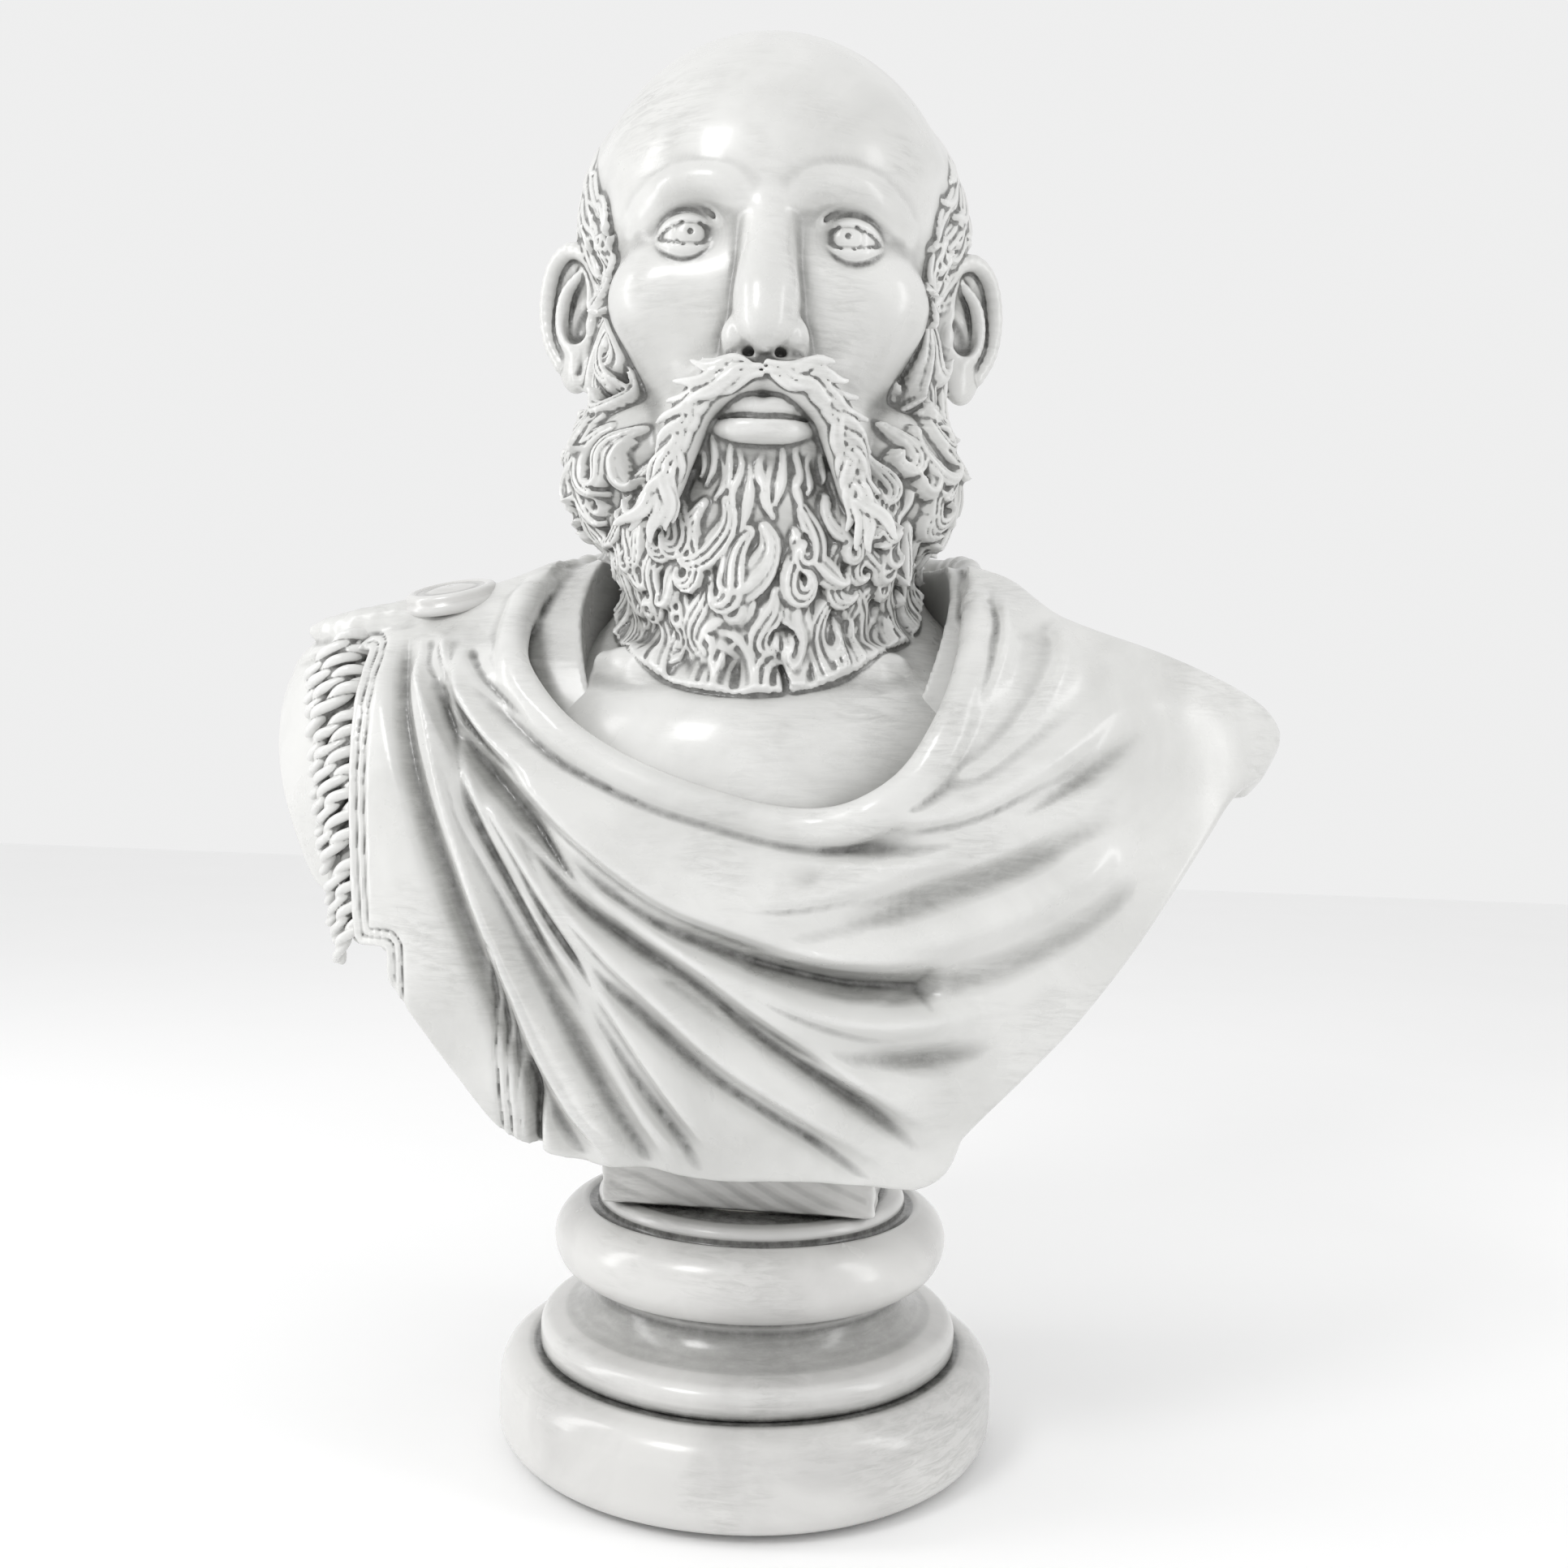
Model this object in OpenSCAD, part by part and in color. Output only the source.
// Draped bust of a bearded man on a turned socle, carved hollow at the back.
// The head with its bare chest is a separate piece, set in a socket of the draped torso.
// One threaded rod draws the bust down on the socle, and the bust turns on that rod.
// Origin: centre of the underside of the felt disc. +Z is up, the chest faces -Y.

/* [Socle] */
// Diameter of the plinth at its widest
plinth_d = 224; // [216:1:232]
// Top of the plinth, where the drum stands on it
plinth_top = 42; // [41:1:46]
// Diameter of the ring at the foot of the drum
ring_d = 189; // [184:1:192]
// Diameter of the hollow neck between ring and torus
neck_d = 130; // [120:1:140]
// Diameter of the torus moulding at its widest
torus_d = 179; // [172:1:184]
// Height of the middle of the torus moulding
torus_z = 90; // [88:1:92]
// Top face of the drum
drum_top = 111; // [110:1:113]

/* [Tablet and post] */
// Width of the block between socle and bust
tablet_w = 120; // [116:1:124]
// Depth of that block
tablet_d = 98; // [90:1:104]
// Height of that block
tablet_h = 19; // [17:1:20]
// Width of the post in the hollow of the bust
post_w = 60; // [50:1:70]

/* [Rod] */
// Diameter of the threaded tie rod
rod_d = 12; // [10:1:14]
// Clearance hole for the rod in the stone
rod_hole_d = 14; // [14:0.5:16]
// Radial running clearance of the rod in its bush
rod_clearance = 0.05; // [0.03:0.01:0.08]

/* [Torso] */
// Squareness of the torso's horizontal sections
squareness = 2.4; // [2.2:0.1:2.8]
// Thickness of the torso's front wall
wall = 22; // [18:1:24]
// Gap left for mortar round pieces that are bedded in each other
bed = 0.3; // [0.25:0.05:0.4]
// Height of the folds in front of the cloth
fold_r = 9; // [7:0.5:10]

/* [Head] */
// Height of the crown of the head
crown_z = 641; // [638:1:645]
// Half the width of the skull
skull_r = 84; // [80:1:87]
// Turn of the head towards the proper left
head_turn = 7; // [0:1:10]

/* [Felt] */
// Diameter of the felt disc glued under the plinth
felt_d = 194; // [186:1:198]
// Thickness of that disc, which lifts the stone off the table
felt_h = 2; // [1.5:0.5:2.5]

/* [Hidden] */

marble = "WhiteSmoke";
marble_warm = "Gainsboro";
steel = "Silver";

flange_h = 1;
tablet_z0 = drum_top + flange_h + 0.02;
tablet_top = tablet_z0 + tablet_h;

// Heights at which the rod's hardware sits, from the underside up
rod_z0 = 8;
nut_z0 = 12;
nut_h = 10;
spring_h = 3;
plate_h = 4;
well_top = nut_z0 + nut_h + spring_h + plate_h;
spigot_h = 6;
sleeve_h = 45;
rod_top = tablet_top + sleeve_h - 5;
post_top = 262;

// Torso stations: height against half width, front depth and back depth
widths = [[100, 176], [150, 198], [200, 213], [250, 224], [290, 229], [320, 231],
          [345, 222], [365, 196], [382, 150], [396, 98], [410, 66]];
fronts = [[100, 86], [130, 95], [180, 104], [240, 111], [290, 107], [320, 98],
          [340, 88], [365, 66], [382, 50], [396, 38], [410, 28]];
backs = [[100, 74], [150, 84], [200, 92], [250, 98], [300, 104], [330, 102],
         [350, 96], [365, 88], [382, 76], [396, 66], [410, 56]];
station_zs = [100, 130, 155, 180, 205, 230, 255, 280, 300, 320, 335, 350, 365, 382, 396, 410];

// Front outline of the truncated bust, as [x, z]: up the proper right side, over the
// shoulders, down the proper left side and back along the hem
outline = [[-66, 144], [-80, 147], [-94, 155], [-112, 175], [-132, 199], [-152, 222],
           [-176, 238], [-197, 250], [-212, 270], [-224, 296], [-231, 318], [-228, 340],
           [-208, 362], [-165, 374], [-120, 384], [-84, 399], [0, 415], [78, 398],
           [108, 390], [130, 371], [175, 355], [213, 338], [225, 325], [214, 306],
           [200, 297], [189, 281], [173, 256], [157, 232], [139, 208], [121, 188],
           [103, 169], [95, 160], [91, 148], [82, 141], [58, 139], [19, 140], [-4, 139],
           [-36, 142]];

// Fold ridges on the front, as [x, z] from the shoulders down
folds = [
    [[-110, 354], [-90, 336], [-66, 318], [-30, 305], [20, 291], [60, 287], [98, 293],
     [140, 322], [160, 340]],
    [[-122, 348], [-100, 318], [-76, 294], [-44, 264], [-10, 251], [30, 252], [70, 266],
     [124, 289]],
    [[-128, 345], [-106, 310], [-78, 276], [-40, 250], [-6, 232], [34, 212], [78, 208],
     [112, 212]],
    [[-136, 345], [-116, 310], [-86, 262], [-50, 235], [-8, 212], [40, 193], [86, 168]],
    [[-140, 340], [-124, 300], [-96, 256], [-60, 222], [-24, 200], [24, 176], [72, 148]],
    [[-144, 340], [-128, 290], [-102, 240], [-70, 205], [-40, 178], [-4, 148]],
    [[-126, 270], [-110, 230], [-88, 195], [-60, 165], [-42, 140]]];

// The neckline ring: an ellipse in a plane that rises towards the back
ring_centre = [3, -16, 348];
ring_tilt = 32;
ring_rx = 80;
ring_ry = 106;
tenon_depth = 30;

// The fringe's core runs down beside the edge of the flap
fringe_rows = 15;
fringe_spine = [[-187, -42, 348], [-173, -65, 290], [-161, -72, 228]];
fringe_r = 10;
flap_edge = -158;
flap_step = 16;

brooch_pos = [-140, -38, 372];
brooch_tilt = [20, -8, 0];
brooch_r = 19;

dowel_xs = [-22, 22];
dowel_y = -4;
dowel_z0 = 292;
dowel_h = 46;
dowel_r = 4;

// A circular arc from angle a0 to a1 about [cx, cz]
function arc(cx, cz, r, a0, a1, steps = 8) =
    [for (i = [0 : steps]) let (a = a0 + (a1 - a0) * i / steps) [cx + r * cos(a), cz + r * sin(a)]];

// Point at angle a of a superellipse with half width w and its own front and back depths
function section_point(a, w, front, back) =
    let (e = 2 / squareness, c = cos(a), s = sin(a))
    [w * sign(c) * pow(abs(c), e), (s < 0 ? front : back) * sign(s) * pow(abs(s), e)];

// Horizontal section of the torso at height z, grown by g
function section(z, g) =
    [for (i = [0 : 47]) section_point(i * 7.5, lookup(z, widths) + g, lookup(z, fronts) + g,
                                    lookup(z, backs) + g)];

// Depth of the torso's front surface at [x, z]
function front_y(x, z) =
    let (t = min(abs(x) / lookup(z, widths), 0.98))
    -lookup(z, fronts) * pow(1 - pow(t, squareness), 1 / squareness);

module slab(z, g) {
    translate([0, 0, z]) linear_extrude(height = 0.01) polygon(section(z, g));
}

module loft(zs, g) {
    for (i = [0 : len(zs) - 2]) hull() {
        slab(zs[i], g);
        slab(zs[i + 1], g);
    }
}

// A rounded strand through a list of points, its radius changing from end to end
module strand(points, r0, r1, fn = 12) {
    n = len(points) - 1;
    for (i = [0 : n - 1]) hull() {
        translate(points[i]) sphere(r = r0 + (r1 - r0) * i / n, $fn = fn);
        translate(points[i + 1]) sphere(r = r0 + (r1 - r0) * (i + 1) / n, $fn = fn);
    }
}

module ball(pos, radii, fn = 32) {
    translate(pos) scale(radii / radii[2]) sphere(r = radii[2], $fn = fn);
}

// Socle

module socle_plinth() {
    r = plinth_d / 2;
    lower = 13;
    upper = 16;
    profile = concat([[0, felt_h], [r - lower, felt_h]],
                     arc(r - lower, felt_h + lower, lower, -90, 0),
                     arc(r - upper, plinth_top - upper, upper, 0, 80),
                     [[r - upper - 3, plinth_top], [0, plinth_top]]);
    color(marble_warm) difference() {
        rotate_extrude($fn = 96) polygon(profile);
        translate([0, 0, -1]) cylinder(r = rod_hole_d / 2, h = plinth_top + 2, $fn = 48);
        translate([0, 0, -1]) cylinder(r = 36, h = well_top + 1, $fn = 96);
        translate([0, 0, plinth_top - spigot_h]) cylinder(r = 50, h = spigot_h + 1, $fn = 96);
    }
}

module socle_drum() {
    ring_r = ring_d / 2;
    ring_top = plinth_top + 8;
    neck_r = neck_d / 2;
    torus_h = 16;
    tube_x = torus_d / 2 - torus_h;
    cove_r = torus_z - torus_h - ring_top - 1;
    cap_r = 70;
    profile = concat([[0, plinth_top], [ring_r - 1, plinth_top]],
                     arc(ring_r - 3, ring_top - 3, 3, -30, 80, 4),
                     arc(neck_r + cove_r, ring_top + cove_r, cove_r, 268, 180, 8),
                     [[neck_r + 1, torus_z - torus_h]],
                     arc(tube_x, torus_z, torus_h, -90, 78, 16),
                     [[cap_r, torus_z + torus_h - 2], [cap_r, drum_top - 1.5],
                      [cap_r - 1.5, drum_top], [0, drum_top]]);
    color(marble_warm) difference() {
        union() {
            rotate_extrude($fn = 96) polygon(profile);
            translate([0, 0, plinth_top - spigot_h + bed])
                cylinder(r = 50 - bed, h = spigot_h, $fn = 96);
        }
        translate([0, 0, 0]) cylinder(r = rod_hole_d / 2, h = drum_top + 1, $fn = 48);
        translate([0, 0, drum_top - 20]) cylinder(r = rod_hole_d / 2 + 3, h = 21, $fn = 48);
    }
}

module felt_disc() {
    color("DimGray") cylinder(r = felt_d / 2, h = felt_h, $fn = 96);
}

// Rod and its hardware

module tie_rod() {
    color(steel) translate([0, 0, rod_z0]) cylinder(r = rod_d / 2, h = rod_top - rod_z0, $fn = 48);
}

module flanged_bush() {
    sleeve_r = rod_hole_d / 2 + 3;
    color("Ivory") difference() {
        union() {
            translate([0, 0, drum_top - 20]) cylinder(r = sleeve_r, h = 20, $fn = 48);
            translate([0, 0, drum_top]) cylinder(r = 44, h = flange_h, $fn = 96);
        }
        translate([0, 0, drum_top - 21])
            cylinder(r = rod_d / 2 + rod_clearance, h = 23, $fn = 48);
    }
}

module plate_washer() {
    washer(rod_d / 2 + 1, 30, well_top - plate_h, plate_h);
}

module spring_washer() {
    washer(rod_d / 2 + 0.4, rod_d / 2 + 5, well_top - plate_h - spring_h, spring_h);
}

module washer(inner, outer, z, h) {
    color(steel) translate([0, 0, z]) difference() {
        cylinder(r = outer, h = h, $fn = 72);
        translate([0, 0, -1]) cylinder(r = inner, h = h + 2, $fn = 48);
    }
}

module tie_nut() {
    across_corners = 22;
    color(steel) translate([0, 0, nut_z0]) difference() {
        cylinder(r = across_corners / 2, h = nut_h, $fn = 6);
        translate([0, 0, -1]) cylinder(r = rod_d / 2, h = nut_h + 2, $fn = 48);
    }
}

module anchor_sleeve() {
    color("DarkGray") translate([0, 0, tablet_top]) difference() {
        cylinder(r = rod_d / 2 + 4, h = sleeve_h, $fn = 48);
        translate([0, 0, -1]) cylinder(r = rod_d / 2, h = sleeve_h - 4, $fn = 48);
    }
}

// Tablet and post

module index_tablet() {
    color(marble_warm) difference() {
        translate([-tablet_w / 2, -tablet_d / 2, tablet_z0]) cube([tablet_w, tablet_d, tablet_h]);
        translate([0, 0, tablet_z0 - 1]) cylinder(r = rod_hole_d / 2, h = tablet_h + 2, $fn = 48);
    }
}

// The post, grown by g: it stands on the tablet, and higher up it is let into the front wall
module post_block(g) {
    toe_z = 152;
    wide = post_w + 2 * g;
    translate([-wide / 2, -49 - g, tablet_top - g])
        cube([wide, 95 + 2 * g, post_top - tablet_top + 2 * g]);
    translate([-wide / 2, -84 - g, toe_z - g]) cube([wide, 60, post_top - toe_z + 2 * g]);
}

module back_post() {
    color(marble) difference() {
        post_block(0);
        translate([0, 0, tablet_top - 1])
            cylinder(r = rod_d / 2 + 4, h = sleeve_h + 1, $fn = 48);
        translate([0, 58, post_top + 12]) rotate([45, 0, 0]) cube([80, 60, 60], center = true);
    }
}

// Torso

module outline_prism() {
    rotate([90, 0, 0]) linear_extrude(height = 320, center = true) polygon(outline);
}

module bare_arm() {
    strand([[-184, 6, 322], [-182, 6, 270], [-170, 6, 210]], 50, 46, 32);
}

module cloth_folds() {
    for (route = folds)
        strand([for (p = route) [p[0], front_y(p[0], p[1]) + 3, p[1]]], fold_r - 2, fold_r);
}

module shoulder_corner() {
    hull() {
        translate([-202, -34, 358]) sphere(r = 6, $fn = 16);
        translate([-150, -56, 358]) sphere(r = 9, $fn = 16);
        translate([-150, 20, 362]) sphere(r = 12, $fn = 16);
        translate([-192, 16, 354]) sphere(r = 10, $fn = 16);
    }
}

// The carved hollow, open to the back and below
module hollow() {
    hull() {
        for (level = [[100, 0.95], [200, 0.95], [240, 0.96], [262, 0.88]])
            translate([0, 10, level[0]]) linear_extrude(height = 0.01)
                scale([level[1], 1]) polygon(section(level[0], -wall));
        translate([-150, 140, 100]) cube([300, 1, 150]);
    }
    for (side = [-1, 1]) hull() {
        ball([side * 128, 20, 270], [48, 52, 44], 24);
        translate([side * 128, 120, 250]) sphere(r = 46, $fn = 24);
    }
}

// Everything inside the neckline, grown by g
module neck_socket(g) {
    hull() {
        translate(ring_centre) rotate([ring_tilt, 0, 0])
            ball([0, 0, 0], [ring_rx + g, ring_ry + g, tenon_depth + g]);
        translate(ring_centre + [0, -15, 140]) rotate([ring_tilt, 0, 0])
            ball([0, 0, 0], [ring_rx + g, ring_ry + g, tenon_depth + g]);
    }
}

function spine_point(t) =
    t < 0.5 ? fringe_spine[0] + (fringe_spine[1] - fringe_spine[0]) * t * 2
            : fringe_spine[1] + (fringe_spine[2] - fringe_spine[1]) * (t * 2 - 1);

// The fringe, grown by g: a core and the tassels lying across it
module fringe(g) {
    strand(fringe_spine, fringe_r + g, fringe_r - 1 + g, 24);
    for (i = [0 : fringe_rows - 1]) {
        t = i / (fringe_rows - 1);
        c = spine_point(t);
        reach = 13 - 5 * t;
        strand([c + [7, -8, 4], c + [-1, -7, 0], c + [-reach, -1, -8]], 4.5 + g, 4 + g);
    }
}

module brooch_place(g) {
    translate(brooch_pos) rotate(brooch_tilt) translate([0, 0, -g]) children();
}

module draped_torso() {
    color(marble) difference() {
        intersection() {
            union() {
                difference() {
                    loft(station_zs, 0);
                    translate([flap_edge - 102, -140, 90]) cube([102, 140, 262]);
                }
                loft(station_zs, -flap_step);
                bare_arm();
                shoulder_corner();
                cloth_folds();
            }
            outline_prism();
        }
        hollow();
        post_block(bed);
        neck_socket(0);
        fringe(bed);
        brooch_place(bed) cylinder(r = brooch_r + bed, h = 60, $fn = 48);
        brooch_place(26) cylinder(r = 3 + bed, h = 30, $fn = 24);
        neck_pin_places() cylinder(r = dowel_r + bed, h = dowel_h + 2 * bed, $fn = 24);
    }
}

module neck_pin_places() {
    for (x = dowel_xs) translate([x, dowel_y, dowel_z0 - bed]) children();
}

module neck_dowels() {
    color(steel) for (x = dowel_xs)
        translate([x, dowel_y, dowel_z0]) cylinder(r = dowel_r, h = dowel_h, $fn = 32);
}

module shoulder_brooch() {
    edge = 3;
    h = 9;
    profile = concat([[0, 0], [brooch_r - edge, 0]],
                     arc(brooch_r - edge, edge, edge, -90, 0, 4),
                     arc(brooch_r - edge, h - edge, edge, 0, 90, 4), [[0, h]]);
    color(marble) brooch_place(0) difference() {
        rotate_extrude($fn = 72) polygon(profile);
        translate([0, 0, -1]) cylinder(r = 3, h = 6, $fn = 32);
    }
}

module brooch_dowel() {
    color(steel) brooch_place(25) cylinder(r = 3, h = 29.9, $fn = 32);
}

module shoulder_fringe() {
    color(marble) fringe(0);
}

// Head, in its own frame: crown at crown_z, facing -Y

module ear(side) {
    hull() {
        ball([side * 88, 10, 540], [10, 17, 20], 20);
        ball([side * 86, 4, 500], [7, 10, 14], 20);
    }
}

module face() {
    brow_z = crown_z - 100;
    ball([0, 14, brow_z - 55], [66, 70, 62]);
    hull() {
        ball([0, 10, crown_z - 92], [skull_r, 102, 92]);
        ball([0, -30, brow_z], [70, 60, 40]);
    }
    hull() {
        ball([0, -28, brow_z - 10], [68, 60, 40]);
        ball([0, -34, brow_z - 70], [60, 56, 40]);
        ball([0, -62, brow_z - 120], [34, 32, 30]);
    }
    hull() {
        translate([0, -84, brow_z - 8]) sphere(r = 9, $fn = 16);
        translate([0, -98, brow_z - 60]) sphere(r = 15, $fn = 16);
        translate([0, -80, brow_z - 60]) sphere(r = 18, $fn = 16);
    }
    for (side = [-1, 1]) {
        strand([[side * 10, -84, brow_z], [side * 34, -80, brow_z + 6],
                [side * 56, -60, brow_z - 4]], 8, 7);
        ear(side);
    }
}

module hair() {
    for (side = [-1, 1]) hull() {
        ball([side * 66, 20, crown_z - 80], [24, 60, 40]);
        ball([side * 62, 30, crown_z - 150], [24, 50, 40]);
    }
    hull() {
        ball([0, 72, crown_z - 90], [62, 42, 40]);
        ball([0, 58, crown_z - 170], [62, 40, 40]);
    }
}

module beard() {
    for (side = [-1, 1]) {
        hull() {
            ball([side * 68, -10, crown_z - 165], [17, 34, 40], 24);
            ball([side * 56, -30, crown_z - 226], [26, 36, 27], 24);
        }
        strand([[side * 4, -92, crown_z - 180], [side * 34, -82, crown_z - 196],
                [side * 44, -76, crown_z - 240]], 10, 11);
    }
    hull() {
        ball([0, -48, crown_z - 232], [74, 48, 32], 24);
        ball([0, -66, crown_z - 278], [48, 44, 32], 24);
    }
}

module neck() {
    hull() {
        translate([0, 12, 350]) cylinder(r = 62, h = 1, $fn = 40);
        translate([0, 8, 480]) cylinder(r = 56, h = 1, $fn = 40);
    }
}

// Neck, bare chest and tenon: what fills the socket below the skin
module chest_plug() {
    intersection() {
        neck_socket(-bed);
        union() {
            neck();
            hull() {
                translate([3, -15, 300]) ball([0, 0, 0], [110, 91, 66]);
                translate([0, 22, 388]) ball([0, 0, 0], [86, 58, 34]);
            }
        }
    }
}

module head() {
    color(marble) difference() {
        union() {
            chest_plug();
            translate([-4, 0, 0]) rotate([0, 0, head_turn]) {
                face();
                hair();
                beard();
            }
        }
        neck_pin_places() cylinder(r = dowel_r + bed, h = dowel_h + 2 * bed, $fn = 24);
    }
}

head();
draped_torso();
back_post();
index_tablet();
socle_drum();
socle_plinth();
shoulder_brooch();
brooch_dowel();
shoulder_fringe();
neck_dowels();
anchor_sleeve();
tie_rod();
flanged_bush();
plate_washer();
spring_washer();
tie_nut();
felt_disc();
